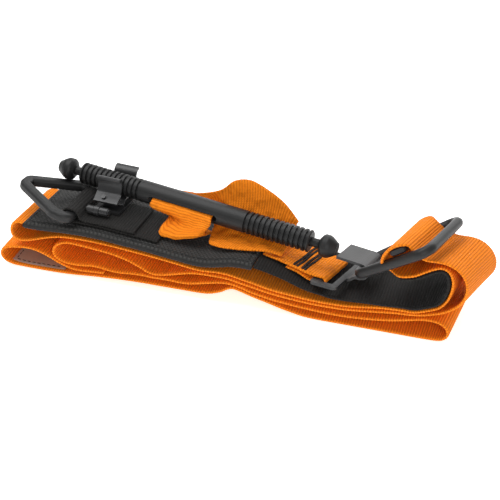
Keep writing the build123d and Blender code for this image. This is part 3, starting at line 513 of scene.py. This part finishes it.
# Front and back y where the webbing narrows round the slider, from station 46 to 57
NARROWED = [
    (-19.0, 18.0), (-19.0, 12.4), (-18.0, 10.9), (-13.7, 10.7), (-13.9, 13.2), (-17.9, 17.6),
    (-19.0, 18.8), (-19.0, 18.8), (-18.8, 18.2), (-17.6, 14.9), (-18.5, 15.6), (-19.0, 18.2)]
FULL_WIDTH = (-HALF, HALF)
strap_limits = [FULL_WIDTH] * len(STRAP_PATH)
strap_limits[46:58] = NARROWED
strap, wrap, folds = web(
    ("orange_strap", "orange_strap_wrap", "orange_strap_folds"), STRAP_PATH, STRAP_T, FULL_WIDTH,
    pitch=ORANGE_RIB, depth=0.19, count=14, limits=strap_limits,
    cuts=((83.75, 0.0, 30.1), (91.6, 0.0, 31.9)))

# ---------------------------------------------------------------------------
# Mesh sleeve
# ---------------------------------------------------------------------------
# Underside of the sleeve: x, z
SLEEVE_BOTTOM = [
    (-104.0, 20.35), (-101.2, 20.10), (-96.2, 20.15), (-86.3, 20.80), (-76.6, 21.00),
    (-67.0, 20.70), (-57.6, 19.65), (-48.2, 18.75), (-38.9, 17.55), (-29.7, 16.30),
    (-25.1, 15.70), (-20.5, 15.45), (-15.9, 16.05), (-11.3, 17.10), (-6.7, 18.20),
    (-1.2, 18.55), (3.2, 18.30)]
SLEEVE_MIDDLE = np.array(SLEEVE_BOTTOM) + (0.0, SLEEVE_T / 2)
SLEEVE_HALF = 20.0


def above_sleeve(x, gap):
    """Station a gap above the middle of the sleeve's thickness."""
    z = np.interp(x, SLEEVE_MIDDLE[:, 0], SLEEVE_MIDDLE[:, 1])
    return (x, z + gap, x, back_height(z) + gap)


def sleeve():
    centre = catmull(both_edges(SLEEVE_MIDDLE))
    columns = across(-SLEEVE_HALF, SLEEVE_HALF, count=96, hem=(0.0, 0.25, 0.7, 1.2))
    y = np.tile(columns, (len(centre), 1))
    grid, length = resample(rule(centre, y), FLOAT_LENGTH / ROWS_PER_RIB)
    grid = smooth_rows(grid, 3)
    edge = np.minimum(edge_distance(columns)[None, :], edge_distance(length)[:, None])
    profile = taper(edge, reach=2.4, thin=0.62) * taper(edge, reach=0.7, thin=0.70)
    # the stitched groove lies 2.1 in from the edge
    groove = 0.35 * np.exp(-((edge - 2.1) / 0.35) ** 2)
    row = columns / FLOAT_ROW
    weave = (ripple(length[:, None] / FLOAT_LENGTH + 0.5 * np.floor(row)) * ripple(row)) ** 0.6
    half_t = SLEEVE_T / 2 * profile - groove - 0.16 * (1 - weave)
    return cloth_mesh("mesh_sleeve", grid, length, columns, half_t, normals(grid))


pad = sleeve()

# ---------------------------------------------------------------------------
# Base webbing: under the hook, then round the outside of the orange curl
# ---------------------------------------------------------------------------
# x, z and any extra drop of the back edge
BASE_FLAT = [
    (3.7, 20.20), (6.8, 19.60), (11.2, 18.50), (15.7, 17.20), (20.1, 15.60, 0.3),
    (24.6, 13.80, 0.5), (29.0, 12.60, 0.8), (33.5, 11.90, 1.25), (37.9, 11.10, 1.2),
    (42.3, 11.00, 1.0), (46.6, 11.20, 0.8), (52.0, 11.60, 0.5)]
curl = np.array(STRAP_PATH[34:49])
curl_gap = (STRAP_T + BASE_T) / 2 + 0.30
BASE_PATH = np.vstack([both_edges(BASE_FLAT), np.hstack([offset_line(curl[:, :2], curl_gap),
                                                         offset_line(curl[:, 2:], curl_gap)])])
base_limits = [FULL_WIDTH] * (len(BASE_PATH) - 2) + [(-19.0, 17.0), (-18.0, 14.0)]
base, = web(("base_web",), BASE_PATH, BASE_T, FULL_WIDTH,
            pitch=BLACK_RIB, depth=0.14, count=12, limits=base_limits)

# ---------------------------------------------------------------------------
# Keeper webbing: along the sleeve, round the ring's bar and back over itself
# ---------------------------------------------------------------------------
RING_X, RING_Z = -82.0, 29.40
RING_BACK_DROP = 5.60     # how much lower the loop's back edge lies
LOOP_R = 4.4 / 2 + KEEP_T / 2 + 0.45
KEEP_LIFT = SLEEVE_T / 2 + KEEP_T / 2 + 0.24
keeper_path = [above_sleeve(x, KEEP_LIFT) for x in (-41.2, -44.0, -48.2, -52.9, -57.6, -62.3, -67.0)]
keeper_path.append(above_sleeve(-72.5, KEEP_LIFT + 0.10))
loop = [(-78.4, 26.10)]
for k in range(9):
    angle = math.radians(-90 - 22.5 * k)
    loop.append((RING_X + LOOP_R * 1.12 * math.cos(angle), RING_Z + LOOP_R * math.sin(angle)))
loop += [(-79.3, 32.10), (-78.1, 30.40), (-77.4, 28.40)]
keeper_path += [(x, z, x, z - RING_BACK_DROP) for x, z in loop]
keeper_path += [above_sleeve(x, KEEP_LIFT + KEEP_T + gap) for x, gap in (
    (-75.4, 0.20), (-72.5, 0.17), (-67.6, 0.12), (-62.3, 0.10), (-57.0, 0.10), (-52.0, 0.10))]
keeper, = web(("keeper_web",), keeper_path, KEEP_T, (-16.0, 9.4),
              pitch=BLACK_RIB, depth=0.13, count=10)

# ---------------------------------------------------------------------------
# Blank label
# ---------------------------------------------------------------------------
# x, z
LABEL_PATH = [(-112.6, 0.75), (-110.6, 0.05), (-106.2, -0.45), (-98.5, -0.45), (-90.8, -0.30),
              (-86.5, -0.05)]
label, = web(("blank_label",), both_edges(LABEL_PATH), 0.3, (-18.0, 7.0),
             pitch=0.5, depth=0.01, count=10, step=0.8, soften=1)

# ---------------------------------------------------------------------------
# Orange band round the rod
# ---------------------------------------------------------------------------
ROD_LEFT = np.array([-93.2, 12.3, 35.0])
ROD_RIGHT = np.array([31.9, -4.4, 27.2])


def by_rod(dy, dz):
    """Five points along the rod's axis, moved by dy and dz."""
    rod = ROD_RIGHT - ROD_LEFT
    return [tuple(ROD_LEFT + rod * ((x - ROD_LEFT[0]) / rod[0]) + np.array([0, dy, dz]))
            for x in (-49.5, -42.5, -35.0, -27.5, -20.2)]


# Rows along the band, each with five x, y, z points across it
BAND = [
    [(-36.4, 8.0, 19.7), (-32.5, 7.0, 19.6), (-28.8, 6.0, 18.9), (-25.2, 5.0, 18.6), (-21.5, 4.0, 18.1)],
    [(-40.0, 5.8, 23.0), (-42.3, -9.6, 23.3), (-35.5, -11.0, 22.3), (-27.6, -9.2, 23.0), (-22.2, -6.5, 24.0)],
    [(-43.5, 3.4, 25.0), (-38.8, 0.8, 25.0), (-33.6, -3.6, 25.0), (-28.6, -5.4, 25.3), (-21.8, -6.6, 25.9)],
    by_rod(-7.0, -2.4), by_rod(-5.4, 0.0), by_rod(0.0, 0.0), by_rod(5.4, 0.0),
    [(-46.5, 12.4, 32.2), (-40.0, 12.2, 31.6), (-33.2, 11.8, 31.0), (-26.6, 10.8, 29.8), (-21.2, 9.6, 27.8)],
    [(-34.0, 13.4, 31.6), (-29.0, 13.2, 31.4), (-25.2, 12.2, 29.0), (-22.6, 9.2, 24.8), (-20.8, 4.4, 22.2)],
    [(-21.6, 13.8, 35.0), (-20.4, 13.4, 32.0), (-19.4, 10.4, 26.4), (-19.2, 2.6, 21.0), (-20.0, -7.6, 21.6)],
    [(-14.6, 13.8, 41.2), (-14.2, 13.2, 35.4), (-14.0, 9.6, 27.0), (-14.6, 0.8, 20.8), (-16.2, -10.6, 22.0)],
    [(-7.0, 13.8, 42.8), (-6.8, 12.8, 35.0), (-7.0, 8.8, 26.4), (-8.0, -0.4, 21.5), (-10.4, -12.0, 22.7)],
    [(1.0, 13.6, 39.4), (1.0, 12.0, 33.0), (0.6, 7.8, 25.8), (-0.2, -1.2, 21.6), (-2.2, -11.4, 22.9)],
    [(9.4, 12.5, 34.2), (8.2, 10.4, 29.0), (8.0, 6.2, 24.2), (7.8, -1.8, 21.6), (6.6, -9.2, 22.4)],
    [(16.4, 9.6, 28.0), (14.4, 7.6, 24.2), (14.2, 3.2, 21.6), (14.0, -2.8, 20.8), (13.4, -8.6, 21.0)]]


def band():
    rows = np.array(BAND, float)
    dense = np.stack([catmull(rows[:, j], 12) for j in range(rows.shape[1])], 1)
    fine = np.stack([catmull(row, 6) for row in dense])
    grid, length = resample(fine, ORANGE_RIB / ROWS_PER_RIB)
    grid = smooth_rows(grid, 8)
    # low folds, up to 0.55 high, that fade in after 3 mm and are gone by 32 mm
    s = length[:, None]
    fade = np.clip((32.0 - s) / 8.0, 0, 1) * np.clip((s - 3.0) / 5.0, 0, 1)
    w = np.linspace(0, 1, grid.shape[1])[None, :]
    fold = np.sin(9.0 * w * math.pi + 0.35 * s) * np.sin(4.0 * w + 0.21 * s)
    grid[:, :, 2] += 0.55 * fade * (0.5 + 0.5 * fold)
    columns = np.linspace(0, 30.0, grid.shape[1])
    half_t = ribbed(length, columns, 1.2, ORANGE_RIB, depth=0.15, reach=1.4, thin=0.5)
    return cloth_mesh("inner_orange_band", grid, length, columns, half_t,
                      normals(smooth_rows(grid, 4)))


inner = band()


# ---------------------------------------------------------------------------
# Stitched tab, in the hook's own axes: HOOK_Y runs along the buckle
# ---------------------------------------------------------------------------
def square_to(axis, vector):
    """Unit vector: the part of vector square to a unit axis."""
    part = vector - axis * (vector @ axis)
    return part / np.linalg.norm(part)


HOOK_ORIGIN = np.array([50.3, -2.5, 19.1])
HOOK_Y = np.array([0.208, 0.957, -0.203])
HOOK_Y /= np.linalg.norm(HOOK_Y)
HOOK_X = square_to(HOOK_Y, np.array([0.977, -0.205, 0.03]))
HOOK_Z = np.cross(HOOK_X, HOOK_Y)
TURN_X, TURN_Z = -14.1, -5.35      # centre of the tab's turn
TURN_R = 0.6 + TAB_T / 2 + 0.20
TAB_SETTLES = -18.5                # left of this the tab rests on what lies below it
TAB_GAP = 0.12                     # gap under each layer
TAB_Y = np.linspace(-15.5, 9.5, 25)


def on_hook(x, y, z):
    return HOOK_ORIGIN + HOOK_X * x + HOOK_Y * y + HOOK_Z * z


def web_top(x, y):
    """Height of the sleeve's top, or of the base webbing's where it begins."""
    if x < BASE_FLAT[0][0]:
        _, front, _, back = above_sleeve(min(x, 3.1), SLEEVE_T / 2)
    else:
        flat = BASE_PATH[:14]
        front = np.interp(x, flat[:, 0], flat[:, 1]) + BASE_T / 2
        back = np.interp(x, flat[:, 2], flat[:, 3]) + BASE_T / 2
    return front + (back - front) * (y + HALF) / (2 * HALF)


def tab_row(x, z, lift=0.0):
    row = [on_hook(x, y, z) for y in TAB_Y]
    if x < TAB_SETTLES:
        for point in row:
            point[2] = max(point[2], web_top(point[0], point[1]) + lift)
    return row


# Upper and lower layers: hook x, hook z
tab_over = catmull([(-43.0, -0.6), (-38.0, -1.2), (-32.0, -2.0), (-26.0, -2.9),
                    (-21.0, TURN_Z + TURN_R + 0.25), (-17.5, TURN_Z + TURN_R),
                    (-15.0, TURN_Z + TURN_R)], 3)
tab_under = catmull([(-15.0, TURN_Z - TURN_R), (-17.5, TURN_Z - TURN_R),
                     (-21.0, TURN_Z - TURN_R + 0.35), (-26.0, -4.55), (-31.5, -3.65)], 3)
over_rows = []
for x, z in tab_over:
    # the upper layer climbs onto the lower one
    climb = np.interp(x, [-43.0, -33.5], [0.0, TAB_T + TAB_GAP])
    over_rows.append(tab_row(x, z, TAB_T / 2 + 0.18 + climb))
turn_rows = []
for k in range(9):
    angle = math.radians(90 - 22.5 * k)
    turn_rows.append(tab_row(TURN_X + TURN_R * math.cos(angle), TURN_Z + TURN_R * math.sin(angle)))
under_rows = [tab_row(x, z, TAB_T / 2 + TAB_GAP) for x, z in tab_under]
tab_grid, tab_length = resample(np.array(over_rows + turn_rows + under_rows),
                                ORANGE_RIB / ROWS_PER_RIB)
tab_grid = smooth_rows(tab_grid, 3)
tab = cloth_mesh("stitched_tab", tab_grid, tab_length, TAB_Y,
                 ribbed(tab_length, TAB_Y, TAB_T, ORANGE_RIB, depth=0.14, reach=1.2, thin=0.5),
                 normals(tab_grid))

# ---------------------------------------------------------------------------
# Thread
# ---------------------------------------------------------------------------
over_grid = np.array(over_rows)


def on_tab(x, y):
    """Point just above the tab's upper layer."""
    row = [[np.interp(x, tab_over[:, 0], over_grid[:, j, c]) for c in range(3)]
           for j in range(len(TAB_Y))]
    point = [np.interp(y, TAB_Y, values) for values in zip(*row)]
    return np.array(point) + HOOK_Z * (TAB_T / 2 + 0.10)


def on_sleeve(x, y, lift):
    _, front, _, back = above_sleeve(x, 0.0)
    return (x, y, front + (back - front) * (y + HALF) / (2 * HALF) + lift)


def on_label(x, y):
    z = np.interp(x, *zip(*LABEL_PATH))
    return (x, y, z + (back_height(z) - z) * (y + HALF) / (2 * HALF) + 0.19)


def border(place, x_lines, x_range, y_lines, y_range, pitch, dash, spans):
    """Dashes along x at each of y_lines, then along y at each of x_lines.

    place(x, y, t) gives a point; t runs from 0 to 1 along its dash."""
    shares = [i / spans for i in range(spans + 1)]
    lines = [[place(x + dash * t, y, t) for t in shares]
             for y in y_lines for x in np.arange(*x_range, pitch)]
    lines += [[place(x, y + dash * t, t) for t in shares]
              for x in x_lines for y in np.arange(*y_range, pitch)]
    return lines


def zigzag(i, reach):
    return reach if i % 2 else -reach


tacks = tubes("tab_tack_thread", [
    [on_tab(x + zigzag(i, 0.45) + 0.16 * math.sin(0.4 * y + x), y)
     for i, y in enumerate(np.linspace(-14.6, 8.6, 72))]
    for x in (-28.1, -26.6, -24.4, -22.9)], radius=0.26)
bartack = tubes("sleeve_bartack_thread", [
    [on_sleeve(-52.6 + 4.2 * i / 16, -18.0 + zigzag(i, 0.5) + 0.25 * k, SLEEVE_T / 2 * 0.93 - 0.02)
     for i in range(17)] for k in range(3)], radius=0.20)
hems = tubes("sleeve_hem_thread", border(
    lambda x, y, t: on_sleeve(x, y, 1.66 + 0.14 * math.sin(math.pi * t)),
    x_lines=(-101.6, 1.1), x_range=(-100.5, 0.5), y_lines=(-17.9, 17.9), y_range=(-16.5, 15),
    pitch=2.7, dash=1.9, spans=4), radius=0.20)
labels = tubes("label_thread", border(
    lambda x, y, t: on_label(x, y),
    x_lines=(-111.2, -88.2), x_range=(-111.0, -88.5), y_lines=(-16.6, 5.6), y_range=(-16.0, 4.5),
    pitch=2.5, dash=1.7, spans=3), radius=0.20)


def curl_end_lines():
    """Zigzags that join the end of the base webbing to the orange inside the curl."""
    lines = []
    for k in range(3):
        line = []
        for i, y in enumerate(np.linspace(-18.0, 12.0, 70)):
            share = 0.35 + 0.22 * k + zigzag(i, 0.05)
            edges = BASE_PATH[-2] + (BASE_PATH[-1] - BASE_PATH[-2]) * share
            x, z = edges[:2] + (edges[2:] - edges[:2]) * (y + HALF) / (2 * HALF)
            line.append((x, y, z - BASE_T / 2 - 0.06))
        lines.append(line)
    return lines


curl_thread = tubes("curl_end_thread", curl_end_lines(), radius=0.22)


# ---------------------------------------------------------------------------
# Materials, bodies and stand-ins
# ---------------------------------------------------------------------------
def dress(piece, material, slot, *stand_ins, blend=None):
    """blend would name the other mover and the layout points where its pull starts and is full; these are not
    used, and a piece given a blend is only baked in place instead of being attached to the main body.
    """
    piece.data.materials.append(material)
    if blend:
        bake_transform(piece)
    else:
        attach(piece, MAIN)
    if stand_ins:
        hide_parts(*stand_ins)


# where the frame's swing would start, for the length round the slider; dress() does not use it
frame_x = square_to(HOOK_Y, np.array([77.0, -22.0, 44.8]) - HOOK_ORIGIN)
swing_start = HOOK_ORIGIN + np.cross(frame_x, HOOK_Y) * -7.0
dress(strap, ORANGE, "orange_webbing", "main_strap")
dress(wrap, ORANGE, "orange_webbing", "main_strap", blend=("buckle", swing_start, HOOK_ORIGIN))
dress(folds, ORANGE, "orange_webbing", "main_strap")
dress(pad, MESH, "black_mesh", "pad_sleeve")
dress(base, BLACKWEB, "black_webbing", "base_webbing")
dress(keeper, BLACKWEB, "black_webbing", "keeper_webbing")
dress(label, LABEL, "label_cloth", "label_patch")
# the band's pull points toward the rod are handed to dress() but not used; the band is baked in place
dress(inner, CREASED, "orange_webbing", "inner_band",
      blend=("windlass", (-30.0, 0.0, 22.2), (-30.0, 0.0, 28.0)))
dress(tab, CREASED, "orange_webbing", "hook_tab")
dress(tacks, THREAD, "dark_thread", "tab_tacks")
dress(bartack, BLACKTHREAD, "dark_thread", "sleeve_bartack")
for piece in (hems, labels, curl_thread):
    dress(piece, BLACKTHREAD, "dark_thread")

for name, material in {
        "windlass_rod": ROD, "tri_ring": RING, "clip_base": CLIP, "clip_rear_jaw": CLIP,
        "clip_rear_rivets": PIN, "clip_front_jaw": CLIP, "clip_tang": CLIP,
        "clip_tang_rivet": PIN, "clip_pin": CLIP, "hook_plate": PLATE,
        "buckle_frame": WIRE, "slider_bar": PLATE}.items():
    nodes[name].data.materials.clear()
    nodes[name].data.materials.append(material)


# ---------------------------------------------------------------------------
# Floor, light, camera (metres)
# ---------------------------------------------------------------------------
def floor():
    """A sheet just under the bundle that curves up behind it."""
    count, height, bend_y, bend = 40, -0.0002, 1.2, 0.25
    verts = [(x, y, height + max(y - bend_y, 0.0) ** 2 * bend)
             for x in np.linspace(-3.0, 3.0, count) for y in np.linspace(-2.0, 4.0, count)]
    faces = [(i * count + j, (i + 1) * count + j, (i + 1) * count + j + 1, i * count + j + 1)
             for i in range(count - 1) for j in range(count - 1)]
    mesh = bpy.data.meshes.new("floor")
    mesh.from_pydata(verts, [], faces)
    sheet = smooth_object(mesh)
    mesh.materials.append(floor_mat("floor"))
    return sheet


floor()

scene = bpy.context.scene
world = bpy.data.worlds.new("studio")
scene.world = world
world.use_nodes = True
background = world.node_tree.nodes["Background"]
background.inputs["Color"].default_value = (1.0, 1.0, 1.0, 1.0)
background.inputs["Strength"].default_value = 0.40


def place(name, data, location, direction):
    """Links a light or camera that looks along direction."""
    holder = bpy.data.objects.new(name, data)
    scene.collection.objects.link(holder)
    holder.location = location
    holder.rotation_mode = "QUATERNION"
    holder.rotation_quaternion = direction.to_track_quat("-Z", "Y")
    return holder


def area(name, location, size, power):
    light = bpy.data.lights.new(name, "AREA")
    light.shape = "RECTANGLE"
    light.size, light.size_y = size
    light.energy = power
    place(name, light, location, Vector((0, 0, 0.02)) - Vector(location))


area("key", location=(-0.25, 0.10, 0.75), size=(0.7, 0.5), power=5.0)
area("front", location=(0.30, -0.75, 0.45), size=(0.6, 0.4), power=3.0)
area("rim", location=(0.15, 0.75, 0.45), size=(0.8, 0.3), power=2.6)

CAMERA_DISTANCE = 0.5
target = to_frame([-3.549, 0.809, 14.539])
eye = target + CAMERA_DISTANCE * np.array([0.2313, -0.7858, 0.5736])
lens = bpy.data.cameras.new("camera")
lens.lens = 80.5
lens.sensor_width = 36.0
lens.clip_start, lens.clip_end = 0.01, 20.0
scene.camera = place("camera", lens, tuple(eye), Vector(tuple(target - eye)))
scene.view_settings.view_transform = "Standard"
scene.view_settings.look = "None"
